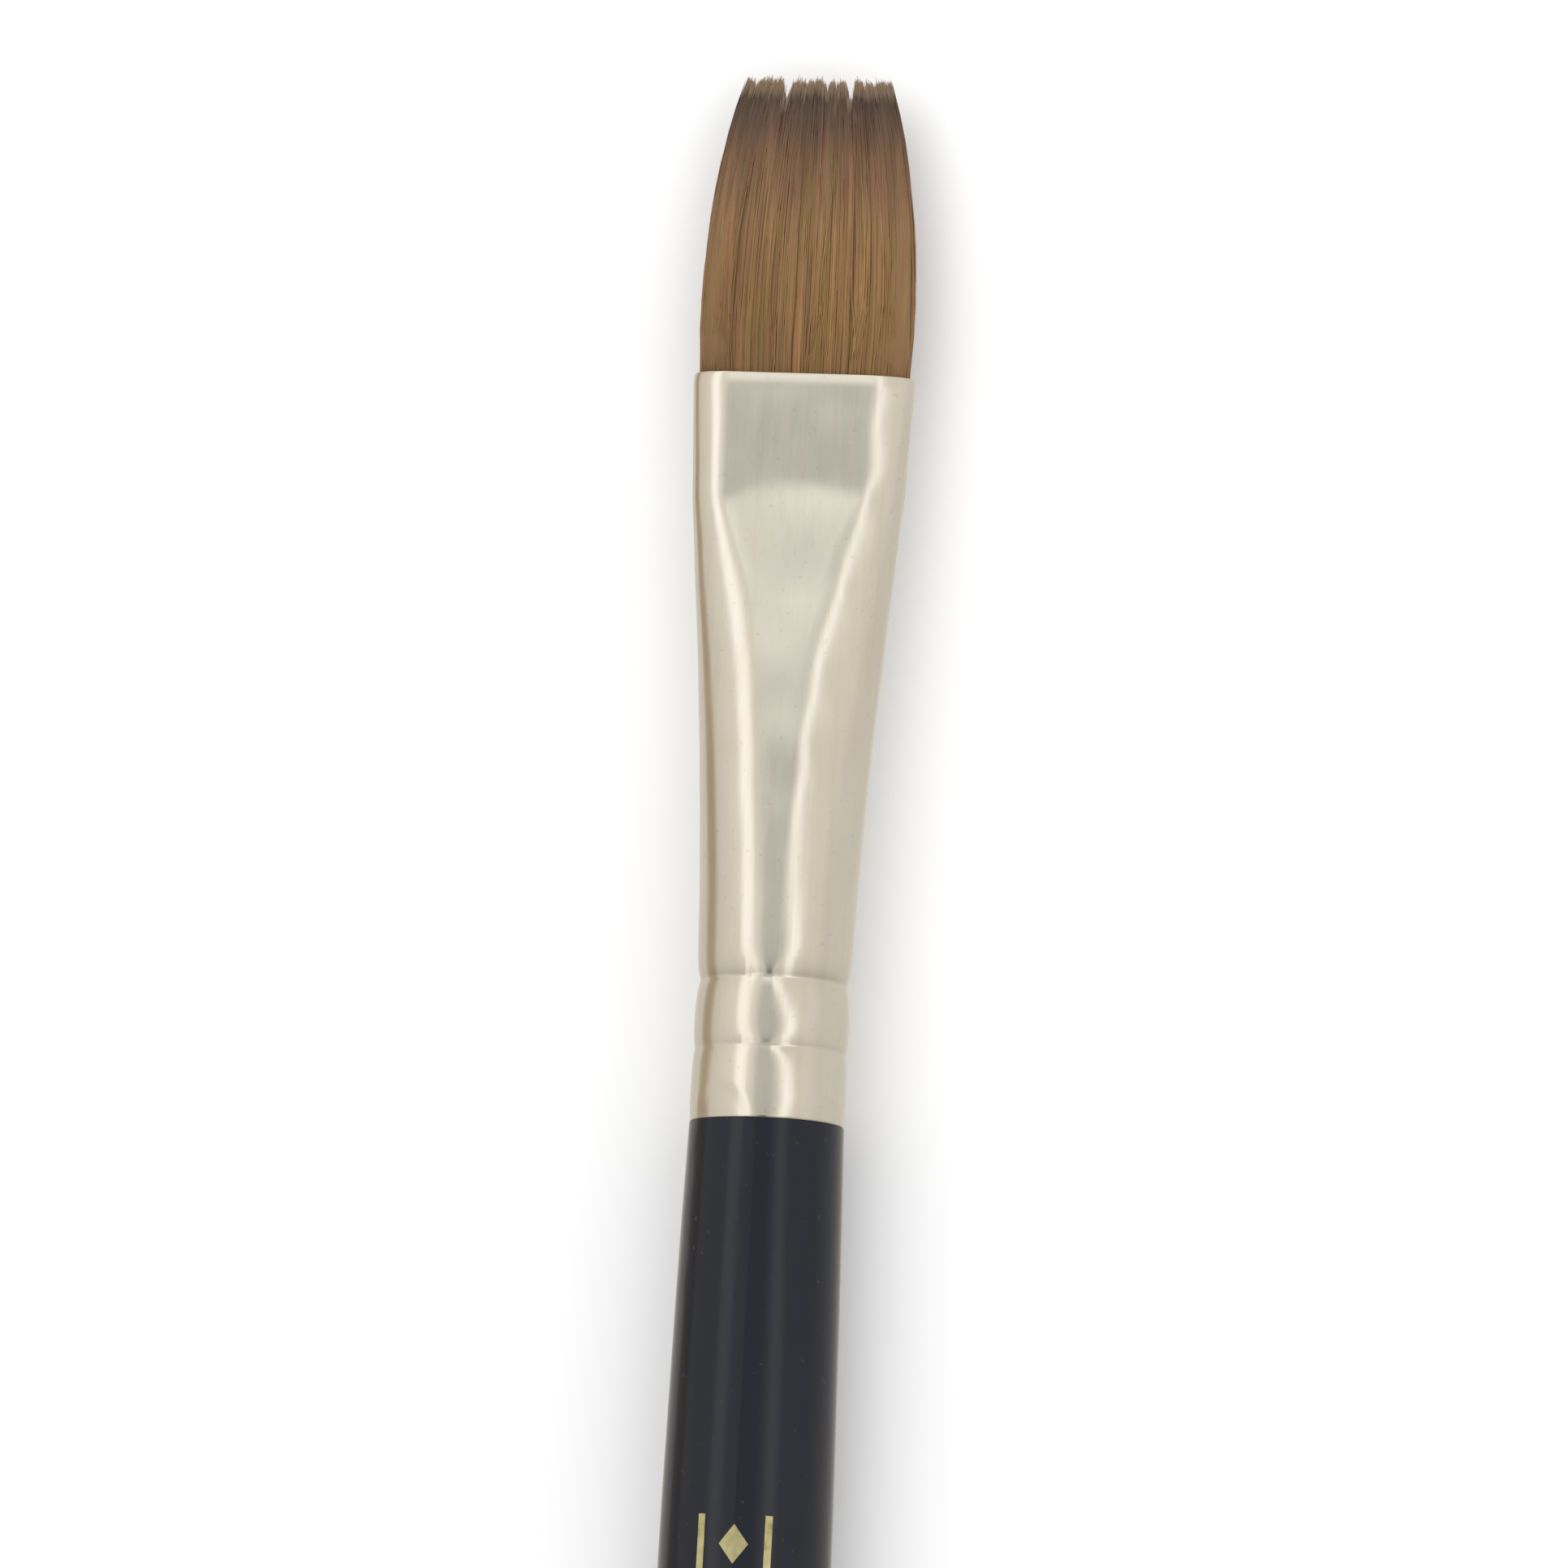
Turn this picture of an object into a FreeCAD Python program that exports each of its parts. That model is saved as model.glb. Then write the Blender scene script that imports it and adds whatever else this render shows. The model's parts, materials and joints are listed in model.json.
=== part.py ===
import FreeCAD, Part
import math
import os

# Flat soft-hair brush, lying at rest on its ferrule and the belly of its handle.
#
# Each piece is drawn in the brush's own frame: x runs along the axis with 0 at the handle's
# shoulder, where the ferrule ends, and the hair toward +x. y is across the flat of the tuft
# and z is its thickness. All pieces are then laid down together: leaned head-down until
# the brush touches the surface at two places, and set on z = 0, with the origin under the
# middle of the whole brush.

V = FreeCAD.Vector
AXIS = V(1, 0, 0)

# ---- driving dimensions, mm ----
TUBE_RADIUS = 4.525          # ferrule where it is still a round tube
WALL = 0.35                  # ferrule sheet
FERRULE_LENGTH = 44.0
PRESSED_LENGTH = 7.6         # flattened stretch behind the mouth
FACET_LENGTH = 4.2           # its back part, pressed to a plane; the front part closes in on the hair
ROUND_LENGTH = 10.2          # round stretch at the handle end
MOUTH_WIDTH = 13.05
MOUTH_THICKNESS = 3.02
CREASE_WIDTH = 12.45         # where the flattened stretch ends
FACET_THICKNESS = 3.28
STRIKE_DEPTH = 0.02          # the press leaves each flat of the facet this far below the sheet round it
STRIKE_MARGIN = 0.3          # between the struck flat and the edges of the facet
LIP_LENGTH = 0.8             # stretch over which the mouth's rim rolls in
LIP_ROLL = 0.12              # how far the rim rolls in, each side

CRIMP_PLACES = (4.4, 8.1)    # middle of each rolled ring, from the handle end
CRIMP_DEPTH = 0.16
CRIMP_HALF_WIDTH = 0.55
CRIMP_SHOULDER = 0.30        # rounded shoulder each side of a ring

HAIR_OUT = 17.1              # hair beyond the mouth
HAIR_WIDTH = 12.66
HAIR_THICKNESS = 2.6
HAIR_SWELL = 1.2             # hair swells to its full girth this far past the mouth
TIP_WIDTH = 8.6
TIP_THICKNESS = 0.65
ROOT_DEPTH = 9.4             # hair inside the ferrule
ROOT_WIDTH = 10.5
ROOT_THICKNESS = 1.9
HAIR_CLEARANCE = 0.05        # between the tuft and the wall at the mouth
THREAD_DIAMETER = 0.22
THREAD_TURNS = 5
THREAD_PITCH = 0.26
CEMENT_LENGTH = 3.4

HANDLE_LENGTH = 125.0        # from the shoulder to the tail
SHOULDER_RADIUS = 4.50
BARREL_RADIUS = 5.15
BARREL_START = 44.0          # behind the shoulder
BARREL_LENGTH = 12.0
TAIL_RADIUS = 1.8
TAIL_EASING = 0.7            # how much the last stretch of the handle still narrows to the tail
COAT = 0.15                  # lacquer
WOOD_CROWN = 0.03            # the wood of the belly is sanded to this crown, and the coat levels it
GLUE = 0.06                  # adhesive between tenon and ferrule
TENON_LENGTH = 12.0

FOIL = 0.03                  # stamped foil on the lacquer
FOIL_START = 23.0            # behind the shoulder
FOIL_LENGTH = 17.0
FOIL_RULE_WIDTH = 0.4        # plain line along each side of the motif
FOIL_RULE_OFFSET = 1.95      # from the middle of the handle
FOIL_LOZENGES = 5
FOIL_LOZENGE_HALF = (1.15, 0.85)

# ---- worked out ----
MOUTH = FERRULE_LENGTH
CREASE = MOUTH - PRESSED_LENGTH
FACET_END = CREASE + FACET_LENGTH
TAPER_LENGTH = CREASE - ROUND_LENGTH
TUBE_INSIDE = TUBE_RADIUS - WALL
BARREL_END = BARREL_START + BARREL_LENGTH
TINY_FLAT_ANGLE = math.radians(5)   # share of the round tube drawn as its two flats


# ---- outlines across the brush ----
def section(x, width, thickness):
    """Closed outline at x: two flats joined by two round ends. Where width is thickness it is a circle."""
    end = thickness / 2
    middle = (width - thickness) / 2
    corner_y = max(middle, end * math.sin(TINY_FLAT_ANGLE))
    corner_z = math.sqrt(end ** 2 - (corner_y - middle) ** 2)

    def flat(side):
        first = V(x, -side * corner_y, side * corner_z)
        last = V(x, side * corner_y, side * corner_z)
        if corner_z > end - 1e-9:
            return Part.LineSegment(first, last).toShape()
        return Part.Arc(first, V(x, 0, side * end), last).toShape()

    def round_end(side):
        first = V(x, side * corner_y, side * corner_z)
        last = V(x, side * corner_y, -side * corner_z)
        return Part.Arc(first, V(x, side * width / 2, 0), last).toShape()

    return Part.Wire([flat(1), round_end(1), flat(-1), round_end(-1)])


def loft(sections, ruled=False):
    return Part.makeLoft([section(*s) for s in sections], True, ruled)


def steps(start, end, count):
    """count + 1 evenly spaced values."""
    return [start + (end - start) * i / count for i in range(count + 1)]


def revolved(edges):
    """The solid swept by a closed outline in the xz plane about the brush's axis."""
    outline = Part.Wire(Part.sortEdges(edges)[0])
    solid = Part.Face(outline).revolve(V(0, 0, 0), AXIS, 360)
    return solid if solid.Volume > 0 else solid.reversed()


def line(a, b):
    return Part.LineSegment(V(a[0], 0, a[1]), V(b[0], 0, b[1])).toShape()


def arc(a, b, c):
    return Part.Arc(*(V(p[0], 0, p[1]) for p in (a, b, c))).toShape()


def bezier(points):
    curve = Part.BezierCurve()
    curve.setPoles([V(x, 0, r) for x, r in points])
    return curve.toShape()


# ---- ferrule ----
def pressed_size(x):
    """Outer (width, thickness) of the flattened stretch, before the rim rolls in."""
    back = (MOUTH - x) / PRESSED_LENGTH
    width = MOUTH_WIDTH + (CREASE_WIDTH - MOUTH_WIDTH) * back
    closing = max(0.0, (x - FACET_END) / (MOUTH - FACET_END))
    thickness = FACET_THICKNESS - (FACET_THICKNESS - MOUTH_THICKNESS) * closing ** 2
    return width, thickness


def taper_size(x):
    """Outer (width, thickness) between the crease and the round tube, easing into the tube."""
    left = (x - ROUND_LENGTH) / TAPER_LENGTH
    tube = 2 * TUBE_RADIUS
    width = tube + (CREASE_WIDTH - tube) * left ** 1.5
    thickness = tube - (tube - FACET_THICKNESS) * left ** 1.65
    return width, thickness


def rim_roll(x):
    """How far the rim has rolled in at x, on a quarter of an ellipse."""
    along = max(0.0, (x - MOUTH + LIP_LENGTH) / LIP_LENGTH)
    return LIP_ROLL * (1 - math.sqrt(1 - along ** 2))


def mouth_sections():
    """Outside of the front part: it closes in on the hair, and its rim rolls in."""
    straight = steps(FACET_END, MOUTH - LIP_LENGTH, 4)
    rolled = [MOUTH - LIP_LENGTH * (1 - math.sin(turn)) for turn in steps(0, math.pi / 2, 6)]
    rows = []
    for x in straight + rolled[1:]:
        width, thickness = pressed_size(x)
        rows.append((x, width - 2 * rim_roll(x), thickness - 2 * rim_roll(x)))
    return rows


def inset_sections(size, places, inset):
    return [(x, size(x)[0] - 2 * inset, size(x)[1] - 2 * inset) for x in places]


def flattened_tube(inset):
    """Solid inside the outline from the round stretch to the front of the pressed facet."""
    taper = loft(inset_sections(taper_size, steps(ROUND_LENGTH, CREASE, 8), inset))
    facet = loft(inset_sections(pressed_size, (CREASE, FACET_END), inset), ruled=True)
    return [taper, facet]


def ring_edges(place, radius):
    """One rolled ring in the tube's outline: a round valley between two rounded shoulders."""
    low = radius - CRIMP_DEPTH
    mid = radius - CRIMP_DEPTH / 2
    outer = CRIMP_HALF_WIDTH + CRIMP_SHOULDER
    return [
        bezier([(place - outer, radius), (place - CRIMP_HALF_WIDTH, radius),
                (place - CRIMP_HALF_WIDTH, mid)]),
        bezier([(place - CRIMP_HALF_WIDTH, mid), (place - CRIMP_HALF_WIDTH, low), (place, low)]),
        bezier([(place, low), (place + CRIMP_HALF_WIDTH, low), (place + CRIMP_HALF_WIDTH, mid)]),
        bezier([(place + CRIMP_HALF_WIDTH, mid), (place + CRIMP_HALF_WIDTH, radius),
                (place + outer, radius)]),
    ]


def crimped_edges(start, end, radius):
    """Outline along the round tube from start to end, with its rolled rings."""
    outer = CRIMP_HALF_WIDTH + CRIMP_SHOULDER
    edges = []
    x = start
    for place in CRIMP_PLACES:
        edges.append(line((x, radius), (place - outer, radius)))
        edges += ring_edges(place, radius)
        x = place + outer
    edges.append(line((x, radius), (end, radius)))
    return edges


def crimped_rod(start, end, radius):
    """Solid round rod with the rolled rings in its side."""
    return revolved(
        [line((start, 0), (start, radius))]
        + crimped_edges(start, end, radius)
        + [line((end, radius), (end, 0)), line((end, 0), (start, 0))]
    )


def struck_slabs():
    """What the press takes off the two flats of the facet, as a slab over each."""
    length = FACET_LENGTH - 2 * STRIKE_MARGIN
    width = CREASE_WIDTH - FACET_THICKNESS - 2 * STRIKE_MARGIN
    corner = V(CREASE + STRIKE_MARGIN, -width / 2, FACET_THICKNESS / 2 - STRIKE_DEPTH)
    slab = Part.makeBox(length, width, 1, corner)
    return [slab, slab.mirror(V(0, 0, 0), V(0, 0, 1))]


def make_ferrule():
    outside = crimped_rod(0, ROUND_LENGTH, TUBE_RADIUS).fuse(flattened_tube(0) + [loft(mouth_sections())])
    inside = crimped_rod(0, ROUND_LENGTH, TUBE_INSIDE).fuse(cavity_solids())
    return outside.cut([inside] + struck_slabs())


def cavity_solids():
    """The space inside the ferrule in front of its round stretch, as solids end to end."""
    mouth = loft(inset_sections(pressed_size, steps(FACET_END, MOUTH, 5), WALL))
    return flattened_tube(WALL) + [mouth]


# ---- tuft and what holds it in the ferrule ----
def tuft_size(x):
    """Outer (width, thickness) of the hair at x."""
    out = (x - MOUTH) / HAIR_OUT
    if out >= 0:
        width = HAIR_WIDTH - (HAIR_WIDTH - TIP_WIDTH) * out ** 2.85
        thickness = HAIR_THICKNESS - (HAIR_THICKNESS - TIP_THICKNESS) * out ** 1.9
        return width, thickness
    back = (MOUTH - x) / ROOT_DEPTH
    wide, thick = pressed_size(MOUTH)
    gap = 2 * (WALL + HAIR_CLEARANCE)
    width = wide - gap + (ROOT_WIDTH - wide + gap) * back
    thickness = thick - gap + (ROOT_THICKNESS - thick + gap) * back
    return width, thickness


def make_hair_tuft():
    bound = loft([(x, *tuft_size(x)) for x in (MOUTH - ROOT_DEPTH, MOUTH - 1e-6)], ruled=True)
    free_rows = [(x, *tuft_size(x)) for x in steps(MOUTH + HAIR_SWELL, MOUTH + HAIR_OUT, 8)]
    swell = loft([(MOUTH - 1e-6, *tuft_size(MOUTH - 1e-6)), free_rows[0]], ruled=True)
    return bound.fuse([swell, loft(free_rows)]).removeSplitter()


def make_root_binding():
    """Turns of waxed thread round the root of the tuft, as separate rings side by side."""
    first = MOUTH - ROOT_DEPTH + 0.6
    rings = []
    for turn in range(THREAD_TURNS):
        x = first + turn * THREAD_PITCH
        width, thickness = tuft_size(x + THREAD_DIAMETER)
        path = section(x, width + THREAD_DIAMETER + 0.02, thickness + THREAD_DIAMETER + 0.02)
        start = V(x, 0, thickness / 2 + THREAD_DIAMETER / 2 + 0.01)
        thread = Part.Wire(Part.makeCircle(THREAD_DIAMETER / 2, start, V(0, 1, 0)))
        rings.append(sweep(path, thread))
    return Part.makeCompound(rings)


def sweep(path, profile):
    pipe = path.makePipeShell([profile], True, False)
    return pipe if pipe.ShapeType == "Solid" else Part.Solid(pipe.Shells[0])


def make_root_cement():
    """Cured cement that fills the ferrule right behind the tuft."""
    end = MOUTH - ROOT_DEPTH
    block = Part.makeBox(CEMENT_LENGTH, 4 * TUBE_RADIUS, 4 * TUBE_RADIUS,
                         V(end - CEMENT_LENGTH, -2 * TUBE_RADIUS, -2 * TUBE_RADIUS))
    cavity = cavity_solids()
    return cavity[0].fuse(cavity[1:]).common(block)


# ---- handle ----
def barrel_edge(inset):
    """The straight stretch of the belly, or the slight crown of the wood under the coat."""
    radius = BARREL_RADIUS - inset
    first = (-BARREL_START, radius)
    last = (-BARREL_END, radius)
    if inset < COAT:
        return line(first, last)
    middle = (-BARREL_START - BARREL_LENGTH / 2, radius + 2 * WOOD_CROWN)
    return bezier([first, middle, last])


def handle_edges(inset):
    """Outline of the handle from the shoulder to the tail's end on the axis, drawn inset from the surface."""
    shoulder = SHOULDER_RADIUS - inset
    barrel = BARREL_RADIUS - inset
    tail = TAIL_RADIUS - inset
    tail_start = -HANDLE_LENGTH + TAIL_RADIUS
    taper = HANDLE_LENGTH - TAIL_RADIUS - BARREL_END
    half = math.sqrt(0.5)
    return [
        bezier([(0, shoulder), (-BARREL_START / 2, barrel), (-BARREL_START, barrel)]),
        barrel_edge(inset),
        bezier([(-BARREL_END, barrel), (-BARREL_END - 0.30 * taper, barrel),
                (-BARREL_END - 0.58 * taper, tail + TAIL_EASING), (tail_start, tail)]),
        arc((tail_start, tail), (tail_start - tail * half, tail * half), (tail_start - tail, 0)),
    ]


def make_handle_core():
    """Turned wood: the tapered body and the tenon that fills the crimped end of the ferrule."""
    tenon = TUBE_INSIDE - GLUE
    tail_end = -HANDLE_LENGTH + COAT
    return revolved(
        [line((TENON_LENGTH, 0), (TENON_LENGTH, tenon))]
        + crimped_edges(0, TENON_LENGTH, tenon)
        + [line((0, tenon), (0, SHOULDER_RADIUS - COAT))]
        + handle_edges(COAT)
        + [line((tail_end, 0), (TENON_LENGTH, 0))]
    )


def make_handle_lacquer():
    return revolved(
        handle_edges(0)
        + [line((-HANDLE_LENGTH, 0), (-HANDLE_LENGTH + COAT, 0))]
        + handle_edges(COAT)
        + [line((0, SHOULDER_RADIUS - COAT), (0, SHOULDER_RADIUS))]
    )


def make_tenon_glue():
    """Film between the tenon and the round stretch of the ferrule."""
    tenon = TUBE_INSIDE - GLUE
    return revolved(
        crimped_edges(0, ROUND_LENGTH, TUBE_INSIDE)
        + [line((ROUND_LENGTH, TUBE_INSIDE), (ROUND_LENGTH, tenon))]
        + crimped_edges(0, ROUND_LENGTH, tenon)
        + [line((0, tenon), (0, TUBE_INSIDE))]
    )


def lozenge(x):
    half_long, half_wide = FOIL_LOZENGE_HALF
    corners = [V(x - half_long, 0, 0), V(x, half_wide, 0), V(x + half_long, 0, 0), V(x, -half_wide, 0)]
    outline = Part.makePolygon(corners + corners[:1])
    return Part.Face(outline).extrude(V(0, 0, 2 * BARREL_RADIUS))


def foil_rule(y):
    return Part.makeBox(FOIL_LENGTH, FOIL_RULE_WIDTH, 2 * BARREL_RADIUS,
                        V(-FOIL_START - FOIL_LENGTH, y - FOIL_RULE_WIDTH / 2, 0))


def make_foil_stamp():
    """Plain foil ornament on top of the handle: a row of lozenges between two straight rules."""
    outer = handle_edges(-FOIL)
    inner = handle_edges(0)
    skin = revolved([outer[0], line((-BARREL_START, BARREL_RADIUS + FOIL), (-BARREL_START, BARREL_RADIUS)),
                     inner[0], line((0, SHOULDER_RADIUS), (0, SHOULDER_RADIUS + FOIL))])
    pitch = FOIL_LENGTH / FOIL_LOZENGES
    middles = [-FOIL_START - pitch * (i + 0.5) for i in range(FOIL_LOZENGES)]
    cutters = [lozenge(x) for x in middles]
    cutters += [foil_rule(side * FOIL_RULE_OFFSET) for side in (-1, 1)]
    return Part.makeCompound([skin.common(cutter).Solids[0] for cutter in cutters])


# ---- laying the brush down ----
def support_lean():
    """Angle of the line that touches the belly of the handle and the round stretch of the ferrule from below."""
    rise = BARREL_RADIUS - SHOULDER_RADIUS

    def miss(left):
        """How far the belly's tangent, at this share of its run still to go, passes below the ferrule."""
        radius = BARREL_RADIUS - rise * left ** 2
        slope = 2 * rise * left / BARREL_START
        run = BARREL_START * (1 - left) + ROUND_LENGTH
        return radius - slope * run - TUBE_RADIUS

    low, high = 0.0, 1.0
    for _ in range(40):
        left = (low + high) / 2
        low, high = (left, high) if miss(left) > 0 else (low, left)
    return math.atan(2 * rise * left / BARREL_START)


def laid_down(pieces):
    """Every piece, leaned head-down and set on z = 0, with the origin under the middle of the brush."""
    lean = FreeCAD.Placement(V(0, 0, 0), FreeCAD.Rotation(V(0, 1, 0), math.degrees(support_lean())))
    leaned = {name: shape.transformed(lean.toMatrix()) for name, shape in pieces.items()}
    box = Part.makeCompound(list(leaned.values())).optimalBoundingBox(False)
    shift = FreeCAD.Matrix()
    shift.move(V(-(box.XMin + box.XMax) / 2, 0, -box.ZMin))
    print("lean in degrees:", round(math.degrees(support_lean()), 3), "shift:", shift.A[3], shift.A[11])
    return {name: shape.transformed(shift) for name, shape in leaned.items()}


PIECES = {
    "ferrule": make_ferrule(),
    "hair_tuft": make_hair_tuft(),
    "root_binding": make_root_binding(),
    "root_cement": make_root_cement(),
    "handle_core": make_handle_core(),
    "handle_lacquer": make_handle_lacquer(),
    "tenon_glue": make_tenon_glue(),
    "foil_stamp": make_foil_stamp(),
}

os.makedirs("parts", exist_ok=True)
for node, placed in laid_down(PIECES).items():
    placed.exportStep(f"parts/{node}.step")
    size = placed.BoundBox
    print(node, placed.isValid(), len(placed.Solids), "solids, volume", round(placed.Volume, 2),
          "x", round(size.XMin, 2), round(size.XMax, 2), "y", round(size.YMin, 2), round(size.YMax, 2),
          "z", round(size.ZMin, 2), round(size.ZMax, 2))
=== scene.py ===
import json
import math

import bpy
import numpy as np
from mathutils import Matrix, Vector


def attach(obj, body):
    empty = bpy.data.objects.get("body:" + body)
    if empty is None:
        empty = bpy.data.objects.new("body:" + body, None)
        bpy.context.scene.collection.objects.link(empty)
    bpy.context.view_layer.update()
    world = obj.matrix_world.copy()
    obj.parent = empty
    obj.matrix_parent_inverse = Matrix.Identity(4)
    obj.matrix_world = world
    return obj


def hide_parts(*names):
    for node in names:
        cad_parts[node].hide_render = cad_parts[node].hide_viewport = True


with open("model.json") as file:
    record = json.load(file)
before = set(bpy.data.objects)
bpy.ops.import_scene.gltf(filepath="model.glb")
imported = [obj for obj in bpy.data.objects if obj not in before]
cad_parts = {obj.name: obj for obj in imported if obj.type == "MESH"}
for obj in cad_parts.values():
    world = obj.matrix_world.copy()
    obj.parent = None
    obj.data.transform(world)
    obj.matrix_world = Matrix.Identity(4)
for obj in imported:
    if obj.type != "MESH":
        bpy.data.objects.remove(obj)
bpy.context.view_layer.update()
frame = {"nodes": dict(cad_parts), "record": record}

# All pieces are drawn in the brush's own frame, in millimetres: x along the axis with 0 at the
# handle's shoulder and the hair toward +x, y across the flat of the tuft, z its thickness.
# The barrel mount gives the axis of the brush as it lies, so it places that frame.

MM = 0.001
BARREL_MIDDLE = 50.0          # behind the shoulder

TUBE_RADIUS = 4.525
WALL = 0.35
FERRULE_LENGTH = 44.0
PRESSED_LENGTH = 7.6          # from the crease to the mouth
ROUND_LENGTH = 10.2           # from the handle end to where the tube starts to flatten
MOUTH_WIDTH = 13.05
MOUTH_THICKNESS = 2.86
CREASE_WIDTH = 12.45
FACET_THICKNESS = 3.48        # at the crease

HAIR_OUT = 17.1               # free length of the tuft
HAIR_WIDTH = 12.66
HAIR_THICKNESS = 2.6
TIP_WIDTH = 8.85
TIP_THICKNESS = 0.65

MOUTH = FERRULE_LENGTH
CREASE = MOUTH - PRESSED_LENGTH

rng = np.random.default_rng(11)


def smoothstep(low, high, x):
    t = np.clip((x - low) / (high - low), 0.0, 1.0)
    return t * t * (3 - 2 * t)


def brush_matrix():
    """The brush's own frame to the row frame; its points are scaled to metres on their own."""
    barrel = next(m for m in frame["record"]["mounts"] if m["name"] == "handle_barrel")
    forward = -Vector(barrel["axis"]).normalized()
    across = Vector((0, 1, 0))
    up = forward.cross(across)
    shoulder = Vector(barrel["pos_m"]) + forward * (BARREL_MIDDLE * MM)
    turn = Matrix((forward, across, up)).transposed().to_4x4()
    return Matrix.Translation(shoulder) @ turn


BRUSH = brush_matrix()


def mesh_piece(name, points, faces, material):
    """A smooth mesh piece from points in the brush's own frame, riding on the only body."""
    mesh = bpy.data.meshes.new(name)
    mesh.from_pydata((np.asarray(points) * MM).tolist(), [], faces)
    mesh.update()
    mesh.shade_smooth()
    mesh.materials.append(material)
    piece = bpy.data.objects.new(name, mesh)
    bpy.context.scene.collection.objects.link(piece)
    piece.matrix_world = BRUSH
    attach(piece, "root")
    return piece


def tube_faces(rows, columns, closed_along=False):
    """Quads of a grid of points that closes round each row, outward for rows that run along +x."""
    count = rows if closed_along else rows - 1
    r, c = np.meshgrid(np.arange(count), np.arange(columns), indexing="ij")
    r_next, c_next = (r + 1) % rows, (c + 1) % columns
    quads = np.stack([r * columns + c, r * columns + c_next,
                      r_next * columns + c_next, r_next * columns + c], axis=-1)
    return quads.reshape(-1, 4)


# ---- node helpers ----
MIX_SHARE, MIX_A, MIX_B = 0, 6, 7     # the Mix node's inputs for colours


class Tree:
    """Short ways to add nodes to a tree; a value is a number, a colour or another node's socket."""

    def __init__(self, tree):
        self.tree = tree

    def add(self, kind, **values):
        node = self.tree.nodes.new(kind)
        for key, value in values.items():
            setattr(node, key, value)
        return node

    def link(self, source, target):
        self.tree.links.new(source, target)

    def feed(self, socket, value):
        """Sets a plain value on the socket itself, or links another node's socket to it."""
        if isinstance(value, (int, float)):
            socket.default_value = value
        elif isinstance(value, tuple):
            socket.default_value = (*value, 1.0)
        else:
            self.link(value, socket)

    def span(self, source, low, high, to_low=0.0, to_high=1.0, mode="LINEAR"):
        """Source from low..high to to_low..to_high, clamped."""
        node = self.add("ShaderNodeMapRange", interpolation_type=mode)
        limits = {"From Min": low, "From Max": high, "To Min": to_low, "To Max": to_high}
        for key, value in limits.items():
            node.inputs[key].default_value = value
        self.link(source, node.inputs["Value"])
        return node.outputs["Result"]

    def ease(self, source, low, high, to_low=0.0, to_high=1.0):
        """Like span, with soft ends."""
        return self.span(source, low, high, to_low, to_high, "SMOOTHSTEP")

    def math(self, operation, a, b=0.0):
        node = self.add("ShaderNodeMath", operation=operation)
        self.feed(node.inputs[0], a)
        self.feed(node.inputs[1], b)
        return node.outputs["Value"]

    def mix(self, a, b, share, blend="MIX"):
        """Colour a turned toward b by a share."""
        node = self.add("ShaderNodeMix", data_type="RGBA", blend_type=blend)
        self.feed(node.inputs[MIX_SHARE], share)
        self.feed(node.inputs[MIX_A], a)
        self.feed(node.inputs[MIX_B], b)
        return next(out for out in node.outputs if out.type == "RGBA")

    def times(self, a, b):
        """Product of two colours, or of a colour and a level."""
        return self.mix(a, b, 1.0, "MULTIPLY")


class Look(Tree):
    """A material and short ways to build its node tree."""

    def __init__(self, name):
        self.material = bpy.data.materials.new(name)
        self.material.use_nodes = True
        super().__init__(self.material.node_tree)
        self.shader = self.tree.nodes["Principled BSDF"]

    def coords(self, scale, offset=(0, 0, 0)):
        """Object coordinates, in metres, times scale."""
        place = self.add("ShaderNodeMapping")
        place.inputs["Scale"].default_value = scale
        place.inputs["Location"].default_value = offset
        self.link(self.add("ShaderNodeTexCoord").outputs["Object"], place.inputs["Vector"])
        return place.outputs["Vector"]

    def noise(self, scale, detail=3.0, roughness=0.5, offset=(0, 0, 0)):
        """Noise whose cells are scale per metre along each axis."""
        node = self.add("ShaderNodeTexNoise")
        node.inputs["Scale"].default_value = 1.0
        node.inputs["Detail"].default_value = detail
        node.inputs["Roughness"].default_value = roughness
        self.link(self.coords(scale, offset), node.inputs["Vector"])
        return node.outputs["Fac"]

    def ramp(self, source, stops):
        """Colour ramp with (place, colour) stops."""
        node = self.add("ShaderNodeValToRGB")
        elements = node.color_ramp.elements
        while len(elements) < len(stops):
            elements.new(0.5)
        for element, (place, colour) in zip(elements, stops):
            element.position = place
            element.color = (*colour, 1.0)
        self.link(source, node.inputs["Fac"])
        return node.outputs["Color"]

    def shade(self, colour, tint, share):
        """The colour, multiplied by a tint as far as share goes."""
        return self.mix(colour, self.times(colour, tint), share)

    def bump(self, height, strength, distance):
        node = self.add("ShaderNodeBump")
        node.inputs["Strength"].default_value = strength
        node.inputs["Distance"].default_value = distance
        self.link(height, node.inputs["Height"])
        self.link(node.outputs["Normal"], self.shader.inputs["Normal"])

    def set(self, **values):
        """Values or sockets for the shader's inputs; underscores stand for spaces."""
        for key, value in values.items():
            self.feed(self.shader.inputs[key.replace("_", " ")], value)


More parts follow.
